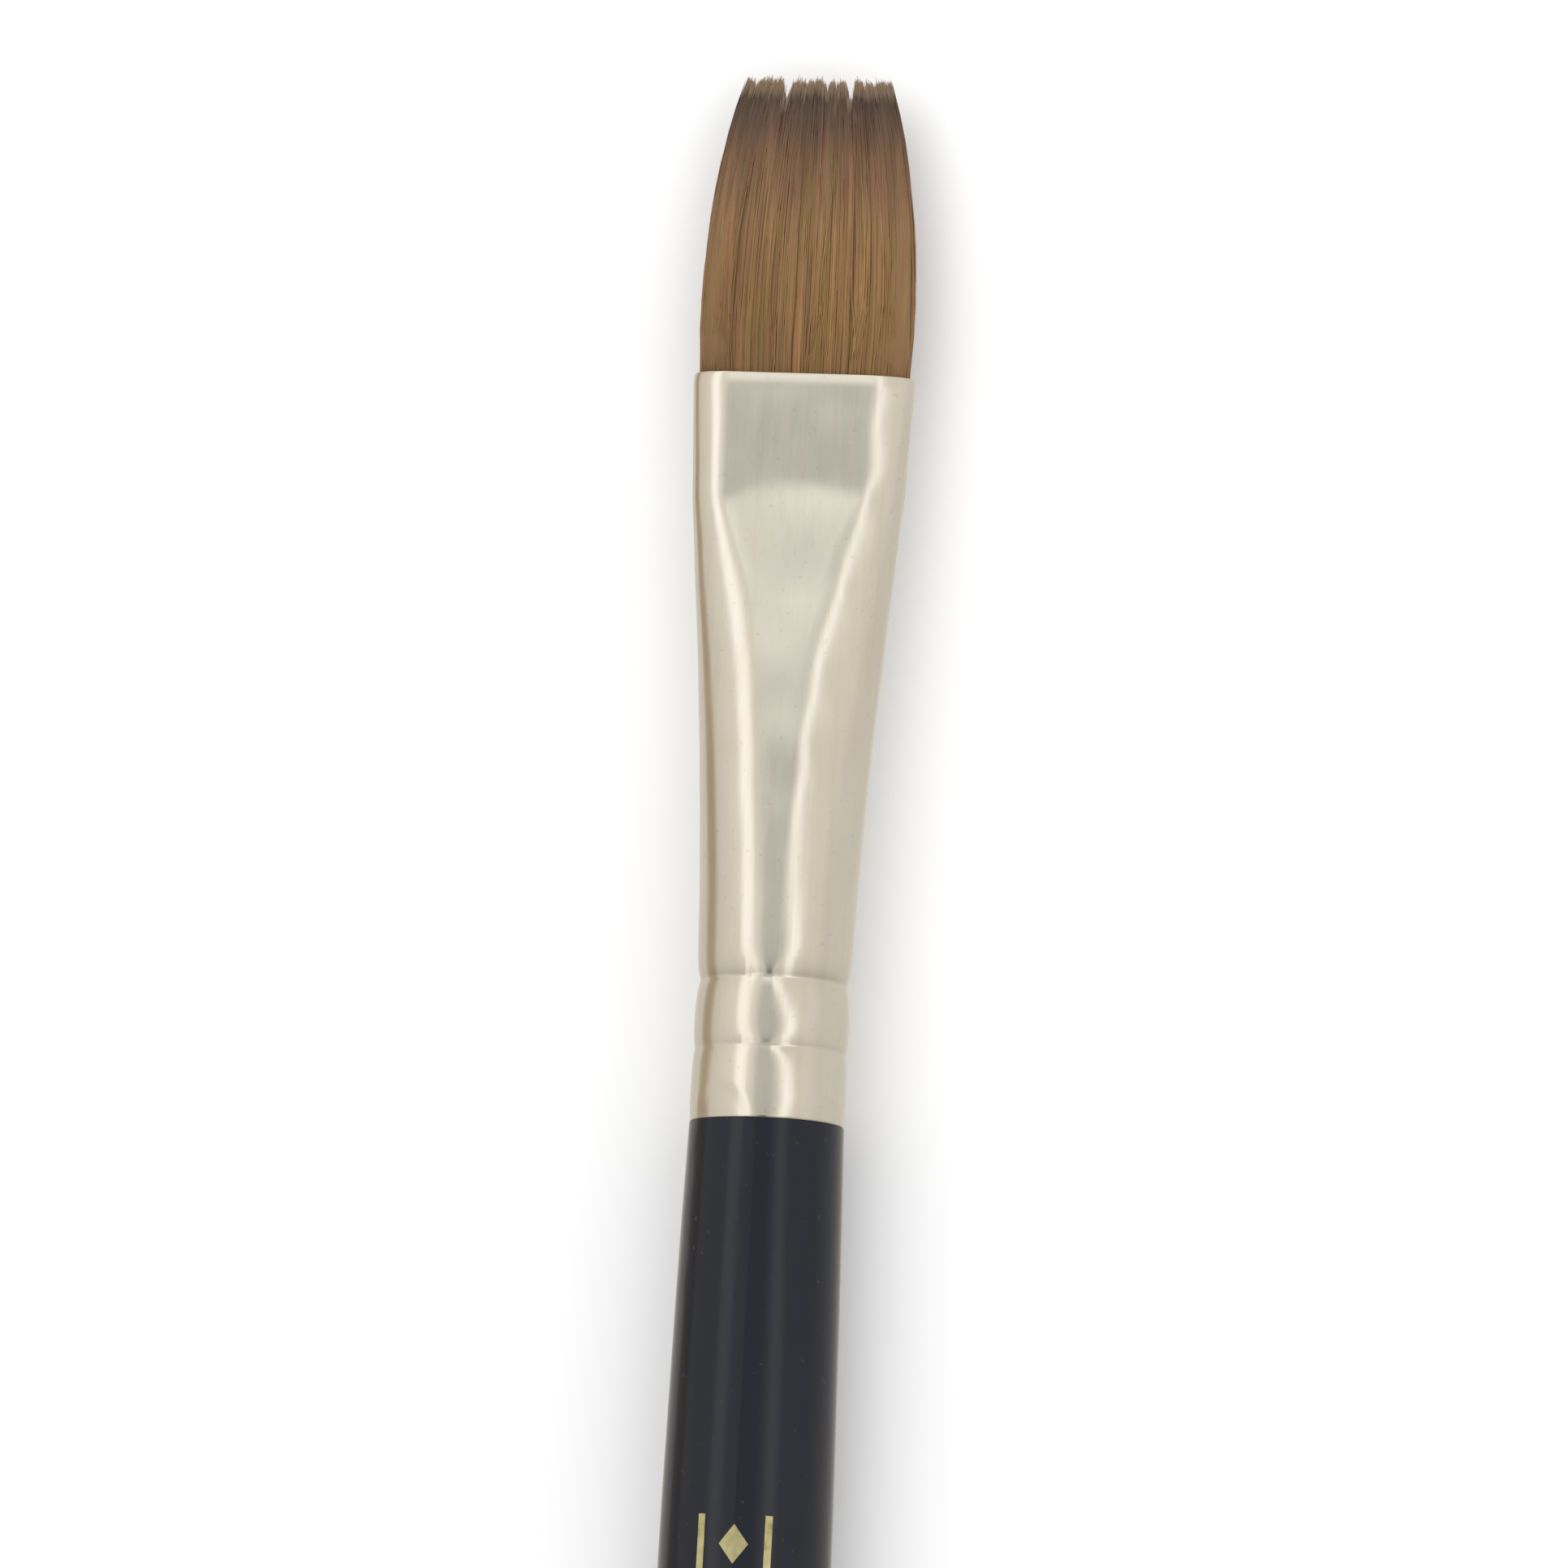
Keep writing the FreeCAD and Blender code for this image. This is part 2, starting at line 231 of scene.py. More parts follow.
# ---- materials ----
def nickel_material():
    """Bright nickel plate: soft drawn lines along the tube, faint blotches, warm streaks and pin marks."""
    n = Look("nickel_plate_look")
    blotch = n.noise((260, 420, 420), detail=4)
    drawn = n.noise((90, 5200, 5200), detail=2)
    streaks = n.noise((55, 1100, 1100), detail=3)
    pins = n.noise((2600, 2600, 2600), detail=1)
    tint = n.ramp(blotch, [
        (0.30, (0.775, 0.735, 0.645)),
        (0.55, (0.800, 0.762, 0.675)),
        (0.75, (0.820, 0.780, 0.695)),
    ])
    warmed = n.mix(tint, (0.74, 0.665, 0.575), n.span(streaks, 0.50, 0.72, 0.0, 0.42))
    stained = n.mix(warmed, (0.62, 0.56, 0.47), n.span(pins, 0.68, 0.78, 0.0, 0.35))
    rough = n.math("ADD", n.span(drawn, 0.3, 0.7, 0.10, 0.17), n.span(blotch, 0.35, 0.75, 0.0, 0.06))
    n.set(Base_Color=stained, Metallic=1.0, Roughness=rough)
    height = n.math("ADD", n.math("MULTIPLY", drawn, 0.35), n.math("MULTIPLY", blotch, 0.65))
    n.bump(height, 0.18, 0.00003)
    return n.material


def lacquer_material():
    """Dark lacquer: near-black navy with a wet gloss, faint dips in the coat and a few dust specks."""
    n = Look("dark_lacquer_look")
    dips = n.noise((60, 260, 260), detail=2)
    specks = n.noise((1900, 1900, 1900), detail=1)
    tint = n.ramp(dips, [(0.3, (0.0022, 0.0042, 0.0105)), (0.7, (0.0036, 0.0058, 0.0130))])
    dusty = n.mix(tint, (0.03, 0.03, 0.034), n.span(specks, 0.72, 0.80, 0.0, 0.8))
    n.set(Base_Color=dusty, Roughness=n.span(dips, 0.3, 0.7, 0.07, 0.13), Specular_IOR_Level=0.44)
    dust = n.math("MULTIPLY", n.span(specks, 0.70, 0.80), 0.05)
    n.bump(n.math("ADD", dips, dust), 0.18, 0.00006)
    return n.material


def foil_material():
    """Hot-stamped gold foil: rubbed and slightly broken."""
    n = Look("gold_foil_look")
    worn = n.noise((1500, 1500, 1500), detail=4)
    grain = n.noise((500, 2600, 2600), detail=2)
    tint = n.ramp(worn, [(0.30, (0.34, 0.29, 0.13)), (0.45, (0.52, 0.47, 0.24)), (0.7, (0.62, 0.57, 0.33))])
    n.set(Base_Color=tint, Metallic=0.85, Roughness=n.span(grain, 0.3, 0.7, 0.28, 0.5))
    n.bump(grain, 0.3, 0.00002)
    return n.material


def wood_material():
    n = Look("hardwood_look")
    grain = n.noise((40, 1400, 1400), detail=6)
    rings = n.noise((18, 420, 420), detail=2)
    figure = n.math("ADD", n.math("MULTIPLY", grain, 0.6), n.math("MULTIPLY", rings, 0.4))
    tint = n.ramp(figure, [(0.35, (0.40, 0.24, 0.12)), (0.5, (0.58, 0.39, 0.21)), (0.65, (0.68, 0.49, 0.29))])
    n.set(Base_Color=tint, Roughness=n.span(grain, 0.3, 0.7, 0.5, 0.75))
    n.bump(grain, 0.4, 0.00005)
    return n.material


def thread_material():
    n = Look("waxed_thread_look")
    twist = n.noise((3200, 900, 3200), detail=3)
    tint = n.ramp(twist, [(0.3, (0.42, 0.36, 0.24)), (0.7, (0.72, 0.66, 0.48))])
    n.set(Base_Color=tint, Roughness=n.span(twist, 0.3, 0.7, 0.45, 0.7))
    n.bump(twist, 0.5, 0.00004)
    return n.material


def resin_material(name, dark, light):
    """Cured cement or glue: clear-brown with cloudy patches."""
    n = Look(name)
    cloud = n.noise((700, 700, 700), detail=4)
    tint = n.ramp(cloud, [(0.3, dark), (0.7, light)])
    n.set(Base_Color=tint, Roughness=n.span(cloud, 0.3, 0.7, 0.2, 0.4))
    n.bump(cloud, 0.2, 0.00005)
    return n.material


def hair_body(n):
    """The hair's colour by its place along the tuft: golden brown, then a dark band near the end."""
    split = n.add("ShaderNodeSeparateXYZ")
    n.link(n.coords((1, 1, 1)), split.inputs["Vector"])
    out = n.span(split.outputs["X"], MOUTH * MM, (MOUTH + HAIR_OUT) * MM)
    waver = n.span(n.noise((60, 900, 900), detail=2), 0.3, 0.7, -0.016, 0.016)
    return n.ramp(n.math("ADD", out, waver), [
        (0.00, (0.190, 0.100, 0.034)),
        (0.25, (0.225, 0.120, 0.043)),
        (0.52, (0.225, 0.125, 0.050)),
        (0.74, (0.165, 0.087, 0.040)),
        (0.86, (0.104, 0.056, 0.033)),
        (0.97, (0.066, 0.043, 0.031)),
    ])


def hair_material():
    """Brown sable-like hair, in locks and streaks that differ in depth and warmth, with a tone of its own
    for each hair, and painted light at its end that stands in for light showing through the thin tips. The
    tone and the distance from the end, in mm, come with the mesh."""
    n = Look("brown_hair_look")
    streak = n.noise((75, 2100, 700), detail=4, roughness=0.6)
    fine = n.noise((160, 7000, 7000), detail=2)
    broad = n.noise((55, 480, 200), detail=2)
    warmth = n.noise((70, 1300, 500), detail=2, offset=(3, 7, 1))
    each = n.add("ShaderNodeAttribute", attribute_name="tone").outputs["Fac"]
    to_end = n.add("ShaderNodeAttribute", attribute_name="to_end").outputs["Fac"]
    colour = n.shade(hair_body(n), (1.17, 1.18, 1.20), n.span(broad, 0.50, 0.68))
    colour = n.shade(colour, (0.87, 0.85, 0.82), n.span(broad, 0.48, 0.32))
    colour = n.shade(colour, (1.42, 1.44, 1.50), n.span(streak, 0.52, 0.72, 0.0, 0.9))
    colour = n.shade(colour, (0.66, 0.62, 0.56), n.span(streak, 0.46, 0.28, 0.0, 0.6))
    colour = n.shade(colour, (1.30, 1.28, 1.22), n.span(each, 0.5, 1.0, 0.0, 0.8))
    colour = n.shade(colour, (0.72, 0.70, 0.70), n.span(each, 0.5, 0.0, 0.0, 0.6))
    colour = n.shade(colour, (1.05, 0.98, 0.95), n.span(warmth, 0.50, 0.66))
    colour = n.shade(colour, (0.97, 1.03, 0.86), n.span(warmth, 0.50, 0.34))
    # painted light: the last mm of each hair is made lighter and tan, standing in for light that shows
    # through the thin tips
    colour = n.mix(colour, (0.400, 0.275, 0.175), n.span(to_end, 1.0, 0.1, 0.0, 0.9))
    n.set(Base_Color=colour, Roughness=n.span(fine, 0.3, 0.7, 0.38, 0.55))
    n.bump(fine, 0.3, 0.00001)
    return n.material


# ---- ferrule: its profile along the brush ----
PROFILE_STEP = 0.02
profile_x = np.arange(-4.0, MOUTH + 4.0, PROFILE_STEP)

# powers of the curves along which the tube widens and flattens
WIDENING = 1.5
FLATTENING = 1.65

# how softly the profile's corners are rounded
WIDTH_RADIUS = 0.5
CREASE_RADIUS = 0.62
RING_RADIUS = 0.10

# the two rolled rings; a groove's side is a sum of hollows, each with a depth and a reach
CRIMP_PLACES = (4.3, 8.25)
HAIR_SIDE_HOLLOWS = ((0.110, 1.3), (0.130, 0.50))
HANDLE_SIDE_HOLLOWS = ((0.050, 0.26), (0.080, 1.2))
FIRST_EDGE = ((0.055, 0.26),)
SECOND_EDGE = ((0.050, 0.26),)
BAND_DEPTH = 0.180            # of the band between the rings, where it leaves the first one
BAND_RISE = 0.200             # soon after it
BAND_FALL = 0.085             # toward the second one
SWAGED_LENGTH = 1.6
SWAGED_DEPTH = 0.05


def smoothed(values, spacing, radius):
    """Values blurred over a radius, with the ends held."""
    reach = int(3 * radius / spacing)
    kernel = np.exp(-0.5 * (np.arange(-reach, reach + 1) * spacing / radius) ** 2)
    padded = np.pad(values, reach, mode="edge")
    return np.convolve(padded, kernel / kernel.sum(), mode="valid")


def ferrule_size():
    """Width and thickness of the tube along profile_x, with a soft crease."""
    tube = 2 * TUBE_RADIUS
    flattened = np.clip((profile_x - ROUND_LENGTH) / (CREASE - ROUND_LENGTH), 0, 1)
    back = np.clip((MOUTH - profile_x) / PRESSED_LENGTH, 0, 1)
    closing = np.clip((profile_x - CREASE) / PRESSED_LENGTH, 0, 1)
    pressed = profile_x > CREASE
    width = np.where(pressed, MOUTH_WIDTH + (CREASE_WIDTH - MOUTH_WIDTH) * back,
                     tube + (CREASE_WIDTH - tube) * flattened ** WIDENING)
    thickness = np.where(pressed, FACET_THICKNESS - (FACET_THICKNESS - MOUTH_THICKNESS) * closing ** 2,
                         tube - (tube - FACET_THICKNESS) * flattened ** FLATTENING)
    return smoothed(width, PROFILE_STEP, WIDTH_RADIUS), smoothed(thickness, PROFILE_STEP, CREASE_RADIUS)


def hollow(away, parts):
    """Depth of a groove's side at a distance from the groove."""
    return sum(deep * np.exp(-np.clip(away, 0, None) / reach) for deep, reach in parts)


def ring_relief(x):
    """How far the round stretch stands off its plain radius: two rolled rings, the band that bulges
    between them, and the slightly swaged end."""
    second, first = CRIMP_PLACES
    down = np.clip((first - x) / (first - second), 0, 1)
    band = BAND_RISE * (1 - (1 - down) ** 2.5) - BAND_FALL * down ** 2.2 - BAND_DEPTH
    band = band - hollow(first - x, FIRST_EDGE) - hollow(x - second, SECOND_EDGE)
    handle_side = -hollow(second - x, HANDLE_SIDE_HOLLOWS)
    relief = np.where(x > second, band, handle_side)
    relief = np.where(x > first, -hollow(x - first, HAIR_SIDE_HOLLOWS), relief)
    end = np.clip((SWAGED_LENGTH - x) / SWAGED_LENGTH, 0, 1)
    return relief - SWAGED_DEPTH * end ** 2


profile_width, profile_thickness = ferrule_size()
profile_relief = smoothed(ring_relief(profile_x), PROFILE_STEP, RING_RADIUS)


# ---- ferrule: its outline round the brush ----
# The outline has four parts: the top flat, the round end toward -y, the bottom flat and the end toward +y.
TOP, MINUS_END, BOTTOM, PLUS_END = range(4)
FLAT_COLUMNS = 48
END_COLUMNS = 56

# a flat is a shallow arc: half the angle it spans where the tube is round, and where it is pressed
FLAT_ANGLE_ROUND = math.radians(10)
FLAT_ANGLE_PRESSED = math.radians(3.8)
PRESSED_HALF_WIDTH = 2.0      # half width at which a flat counts as pressed

# how much of the room is flat toward each side: on the tube, and gained and lost toward the mouth
PLUS_FLAT = 0.54
PLUS_GAIN = 0.37
PLUS_LOSS = 0.09
MINUS_FLAT = 0.25
MINUS_GAINS = (0.30, 0.22)
MINUS_LOSS = 0.15
PLUS_START = 27.5
MINUS_START = 25.0
MINUS_STEP = 31.5
FLATS_FULL = CREASE + 0.5

CREASE_BACK = 0.45            # how far the crease lies behind CREASE
CREASE_BOW = 0.80             # further back in the middle of the flats
CREASE_TILT = 0.15            # and toward -y
CREASE_WAVER = 0.14
SHIFT_IN = (CREASE - 6, CREASE)
SHIFT_OUT = (CREASE + 2.5, CREASE + 6)
RING_WAVER = 0.05             # how far the rings wander along the tube
RING_UNEVEN = 0.14            # and by what share their depth varies
LIP_LENGTH = 0.8
LIP_ROLL = 0.12
RIM_ROLL = 0.21               # of the last row, on the mouth's edge
REAR_INSET = 0.05

DENT_DEPTH = 0.008
DENT_REACH = (3.5, 11.0)
DENTS_IN = (8, 20)
DENTS_OUT = (MOUTH - 2.2, MOUTH - 0.6)
BACK_OFFSET = 40              # gives the back dents of its own
KNOCK_PLACE = (0.1, 1.02)     # along, mm, and round the tube, radians from +y
KNOCK_REACH = (1.9, 0.44)
KNOCK_EDGE = (0.35, 1.35)
KNOCK_DEPTH = 0.042

# from, to and step of the rows of points, closest over the rings
BODY_ROWS = ((0.06, 3.0, 0.10), (3.0, 10.0, 0.045), (10.0, MOUTH - LIP_LENGTH, 0.17))
LIP_ROWS = 15
INNER_ROWS = 60


def waves(seed, count, shortest, longest):
    """A smooth random field over (along, across), as a sum of plane waves; its size is about 1."""
    source = np.random.default_rng(seed)
    lengths = np.exp(source.uniform(math.log(shortest), math.log(longest), count))
    angles = source.uniform(0, math.pi, count)
    phases = source.uniform(0, 2 * math.pi, count)

    def field(along, across):
        total = np.zeros(np.broadcast(along, across).shape)
        for length, angle, phase in zip(lengths, angles, phases):
            way = along * math.cos(angle) + across * math.sin(angle)
            total += np.sin(way * 2 * math.pi / length + phase)
        return total / math.sqrt(count / 2)

    return field


dents = waves(5, 14, *DENT_REACH)
crease_waves = waves(17, 8, 2.2, 7.0)
ring_waves = waves(23, 7, 4.0, 14.0)


def flat_shares(x):
    """How much of the room between the round edges is flat, toward +y and toward -y: the flats
    run out toward the tube, sooner on the -y side, and narrow again at the mouth."""
    to_mouth = np.clip((x - CREASE) / PRESSED_LENGTH, 0, 1)
    plus = PLUS_FLAT + PLUS_GAIN * smoothstep(PLUS_START, FLATS_FULL, x) - PLUS_LOSS * to_mouth
    minus = MINUS_FLAT + MINUS_GAINS[0] * smoothstep(MINUS_START, MINUS_STEP, x)
    minus = minus + MINUS_GAINS[1] * smoothstep(MINUS_STEP, FLATS_FULL, x) - MINUS_LOSS * to_mouth
    return plus, minus


def crease_shift(x, part, q, side):
    """How far the profile is moved toward the handle at stations x, near the crease only."""
    if part in (TOP, BOTTOM):
        inward = (1 - q ** 2) ** 2
        waver = CREASE_WAVER * inward * float(crease_waves(6 * q, 40.0 * side))
        shift = CREASE_BACK + CREASE_BOW * inward - CREASE_TILT * q * (3 - q ** 2) + waver
    else:
        shift = CREASE_BACK + 2 * CREASE_TILT * (-1 if part == PLUS_END else 1)
    return shift * smoothstep(*SHIFT_IN, x) * (1 - smoothstep(*SHIFT_OUT, x))


def ring_height(x, quarters):
    """The rings' relief at stations x, a little uneven round the tube."""
    place = 2 * math.pi * quarters / 4 * TUBE_RADIUS
    moved = x + RING_WAVER * ring_waves(place, 0.0)
    return np.interp(moved, profile_x, profile_relief) * (1 + RING_UNEVEN * ring_waves(place, 30.0))


def lip_roll(x):
    """How far the rolled lip curls in at stations x."""
    share = np.clip((x - MOUTH + LIP_LENGTH) / LIP_LENGTH, 0, 1)
    return LIP_ROLL * (1 - np.sqrt(1 - share ** 2))


def ferrule_point(x, part, column, inset, rolled):
    """Points of the ferrule at stations x, for a place from 0 to 1 along one part of the outline."""
    side = 1 if part in (TOP, PLUS_END) else -1
    q = (1 - 2 * column) * side
    shifted = x - crease_shift(x, part, q, side)
    width = np.interp(shifted, profile_x, profile_width)
    thickness = np.interp(shifted, profile_x, profile_thickness)
    off = ring_height(x, part + column) - inset
    if rolled:
        off = off - lip_roll(x)
    end = thickness / 2 + off
    room = (width - thickness) / 2
    plus, minus = (room * share for share in flat_shares(x))
    middle = (plus + minus) / 2
    shift = (plus - minus) / 2
    flatness = np.clip(middle / PRESSED_HALF_WIDTH, 0, 1)
    tip = FLAT_ANGLE_ROUND + (FLAT_ANGLE_PRESSED - FLAT_ANGLE_ROUND) * flatness
    if part in (TOP, BOTTOM):
        reach = width / 2 - middle - shift * q + off
        return shift + middle * q + reach * np.sin(q * tip), side * end * np.cos(q * tip)
    outward = 1 if part == PLUS_END else -1
    reach = width / 2 - middle - shift * outward + off
    turn = tip + (math.pi - 2 * tip) * (column if part == MINUS_END else 1 - column)
    return shift + outward * (middle + reach * np.sin(turn)), end * np.cos(turn)


def ferrule_surface(stations, inset, rolled=False):
    """Grid of points, one row per station."""
    columns = []
    for part in (TOP, MINUS_END, BOTTOM, PLUS_END):
        count = FLAT_COLUMNS if part in (TOP, BOTTOM) else END_COLUMNS
        for i in range(count):
            y, z = ferrule_point(stations, part, i / count, inset, rolled)
            columns.append(np.stack([stations, y, z], axis=-1))
    return np.stack(columns, axis=1)


def dented(grid):
    """The thin sheet's slight unevenness, and one flat knock near the handle end."""
    x, y, z = grid[..., 0], grid[..., 1], grid[..., 2]
    around = np.arctan2(z, y)
    across = np.where(z > 0, y, y + BACK_OFFSET)
    inside = smoothstep(*DENTS_IN, x) * (1 - smoothstep(*DENTS_OUT, x))
    knock = ((x - KNOCK_PLACE[0]) / KNOCK_REACH[0]) ** 2 + ((around - KNOCK_PLACE[1]) / KNOCK_REACH[1]) ** 2
    lift = DENT_DEPTH * dents(x, across) * inside - KNOCK_DEPTH * (1 - smoothstep(*KNOCK_EDGE, knock))
    scale = 1 + lift / np.hypot(y, z)
    return np.stack([x, y * scale, z * scale], axis=-1)


def make_ferrule(material):
    body = np.concatenate([np.arange(*rows) for rows in BODY_ROWS])
    lip = MOUTH - LIP_LENGTH * (1 - np.sin(np.linspace(0, math.pi / 2, LIP_ROWS)[1:]))
    outer = dented(ferrule_surface(np.concatenate([body, lip]), 0.0, True))
    inner = ferrule_surface(np.linspace(MOUTH - 0.03, 0.0, INNER_ROWS), WALL)
    rear = ferrule_surface(np.array([0.0]), REAR_INSET)
    rim = ferrule_surface(np.array([MOUTH + 0.01]), RIM_ROLL)
    grid = np.concatenate([rear, outer, rim, inner])
    rows, columns = grid.shape[:2]
    faces = tube_faces(rows, columns, closed_along=True)
    piece = mesh_piece("ferrule_skin", grid.reshape(-1, 3), faces.tolist(), material)
    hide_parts("ferrule")


# ---- hair ----
# Places along the tuft are shares of its free length, from 0 at the mouth; places across it
# and in its depth run from -1 to 1.
STRANDS = 5600
STRANDS_PER_PIECE = 1400
STRAND_RINGS = 12
STRAND_SIDES = 4
HAIR_RADIUS = 0.050
ROOT = -0.09                  # where the modelled hairs start, inside the mouth
RING_SPACING = 0.9            # power; below 1, a hair's rings lie closer toward its end
SIDE_CROWDING = 0.93          # power; below 1, hairs crowd toward the sides
OUTER_SHARE = 0.62            # of the hairs lie on the tuft's faces
OUTER_DEPTH = 0.80            # at least
INNER_DEPTH = 0.85            # at most
EDGE = 0.93                   # past this place across, hairs take any depth
STRAYS = 26
STRAY_DEPTH = 1.04
STRAY_DRIFT = 0.07
DRIFT = 0.010
BEND = 0.006
SIDE = 0.985                  # of the tuft's half width is used
SIDE_LIMIT = 1.012
LIFT = 0.02                   # mm
MEAN_END = 1.013
END_SPREAD = 0.0095
SHORT_SHARE = 0.12            # of the hairs end sooner
SHORT_BY = (0.01, 0.10)
LOCKS = 40
LOCK_SPREAD = 0.0030
TIP_SHARE = 0.12              # of the hair's thickness is left at its tip
TAPER = 2.2                   # mm
THICKNESS_SPREAD = (0.8, 1.25)
TONE_SPREAD = 0.22

# place across, depth in mm, half width
NOTCHES = ((0.42, 1.15, 0.060), (-0.43, 1.15, 0.060), (0.86, 0.30, 0.030), (-0.12, 0.42, 0.035),
           (0.16, 0.20, 0.025), (-0.76, 0.22, 0.030), (0.64, 0.16, 0.025), (-0.24, 0.30, 0.030),
           (-0.62, 0.16, 0.025))
NOTCH_PULL = 0.35             # tips are pulled aside by this share of the notch's half width
NOTCH_REACH = 1.2             # half widths

# powers of the curves along which the tuft narrows, and how far the mouth squeezes it, mm
NARROWING = 2.6
THINNING = 1.9
WIDTH_SQUEEZE = 0.34
THICKNESS_SQUEEZE = 0.36
SQUEEZED = (-0.01, 0.10)

CORE_ROWS = 48
CORE_COLUMNS = 96
CORE_OUT = 0.93
CORE_SIDE_POWER = 0.45        # below 1, the core's outline is squarer than an ellipse
CORE_FACE_POWER = 0.6
CORE_DEPTH = 0.9              # share of the tuft's thickness
CORE_MARGIN = 0.14            # mm at each side
# darker than the hairs' mean tone of 0.5: painted shade for the inside of the tuft
CORE_PAINTED_SHADE_TONE = 0.2
CORE_TO_END = 5.0             # mm; so it gets none of the painted tip light


def tuft_size(out):
    """Width and thickness of the tuft at a place along it."""
    clipped = np.clip(out, 0, 1.05)
    squeeze = 1 - smoothstep(*SQUEEZED, out)
    width = HAIR_WIDTH - (HAIR_WIDTH - TIP_WIDTH) * clipped ** NARROWING
    thickness = HAIR_THICKNESS - (HAIR_THICKNESS - TIP_THICKNESS) * clipped ** THINNING
    return width - WIDTH_SQUEEZE * squeeze, thickness - THICKNESS_SQUEEZE * squeeze


def tuft_point(out, across, depth):
    """A point of the tuft."""
    width, thickness = tuft_size(out)
    bow = np.sqrt(np.clip(1 - np.abs(across) ** 4, 0, 1))
    return MOUTH + out * HAIR_OUT, across * width / 2, depth * thickness / 2 * bow


def strand_places():
    """Each hair's place across and in depth, and how it drifts and bends aside."""
    across = -1 + 2 * (np.arange(STRANDS) + rng.uniform(0, 1, STRANDS)) / STRANDS
    rng.shuffle(across)
    across = np.sign(across) * np.abs(across) ** SIDE_CROWDING
    outer = rng.uniform(0, 1, STRANDS) < OUTER_SHARE
    on_face = rng.choice([-1, 1], STRANDS) * rng.uniform(OUTER_DEPTH, 1.0, STRANDS)
    depth = np.where(outer, on_face, rng.uniform(-INNER_DEPTH, INNER_DEPTH, STRANDS))
    depth = np.where(np.abs(across) > EDGE, rng.uniform(-1, 1, STRANDS), depth)
    stray = np.arange(STRANDS) < STRAYS
    depth = np.where(stray, rng.choice([-1, 1], STRANDS) * STRAY_DEPTH, depth)
    drift = np.where(stray, rng.normal(0, STRAY_DRIFT, STRANDS), rng.normal(0, DRIFT, STRANDS))
    bend = rng.normal(0, BEND, STRANDS)
    phase = rng.uniform(0, 2 * math.pi, STRANDS)
    return across, depth, drift, bend, phase


def strand_ends(across):
    """Where each hair ends, and how far its tip is pulled away from the notches."""
    end = MEAN_END + rng.normal(0, END_SPREAD, STRANDS)
    short = rng.uniform(0, 1, STRANDS) < SHORT_SHARE
    end = np.where(short, end - rng.uniform(*SHORT_BY, STRANDS), end)
    pull = np.zeros(STRANDS)
    for place, deep, half in NOTCHES:
        away = across - place
        end -= deep / HAIR_OUT * np.clip(1 - np.abs(away) / half, 0, 1)
        pull += np.sign(away) * NOTCH_PULL * half * np.exp(-(away / (NOTCH_REACH * half)) ** 2)
    lock = rng.normal(0, LOCK_SPREAD, LOCKS)
    lock_of = np.clip(((across + 1) / 2 * LOCKS).astype(int), 0, LOCKS - 1)
    return end + lock[lock_of], pull


def strand_paths():
    """Centre lines and radii of all hairs, each one's tone, and how far each ring is from its end, mm."""
    places = strand_places()
    end, pull = (values[:, None] for values in strand_ends(places[0]))
    across, depth, drift, bend, phase = (values[:, None] for values in places)

    share = np.linspace(0, 1, STRAND_RINGS) ** RING_SPACING
    out = ROOT + (end - ROOT) * share
    wander = drift * np.sin(out * 2.4 + phase) + bend * np.sin(out * 7 + 2 * phase)
    side = across * SIDE + wander * smoothstep(0.0, 0.3, out) + pull * smoothstep(0.91, 1.0, out)
    x, y, z = tuft_point(out, np.clip(side, -SIDE_LIMIT, SIDE_LIMIT), depth)
    lift = rng.normal(0, LIFT, STRANDS)[:, None] * smoothstep(0.1, 0.6, out)
    centres = np.stack([x, y, z + lift], axis=-1)
    belly = HAIR_RADIUS * rng.uniform(*THICKNESS_SPREAD, STRANDS)[:, None]
    to_end = (end - out) * HAIR_OUT
    radii = belly * (TIP_SHARE + (1 - TIP_SHARE) * smoothstep(-0.1, TAPER, to_end))
    tone = np.clip(rng.normal(0.5, TONE_SPREAD, STRANDS), 0, 1)
    return centres, radii, tone, to_end


def strand_mesh(centres, radii):
    """Points and faces of closed tapering hairs."""
    count, rings = radii.shape
    turn = np.arange(STRAND_SIDES) / STRAND_SIDES * 2 * math.pi
    circle = np.stack([np.zeros(STRAND_SIDES), np.cos(turn), np.sin(turn)], axis=-1)
    points = centres[:, :, None, :] + radii[:, :, None, None] * circle
    offsets = np.arange(count)[:, None, None] * rings * STRAND_SIDES
    faces = (tube_faces(rings, STRAND_SIDES)[None] + offsets).reshape(-1, 4).tolist()
    cap = np.arange(STRAND_SIDES)
    ends = np.stack([cap[::-1], cap + (rings - 1) * STRAND_SIDES])
    faces += (ends[None] + offsets).reshape(-1, STRAND_SIDES).tolist()
    return points.reshape(-1, 3), faces


def add_values(piece, name, values, times):
    """Gives every point of the piece a number for its material; each value holds for some points in turn."""
    attribute = piece.data.attributes.new(name, "FLOAT", "POINT")
    attribute.data.foreach_set("value", np.repeat(values, times).astype(np.float32))


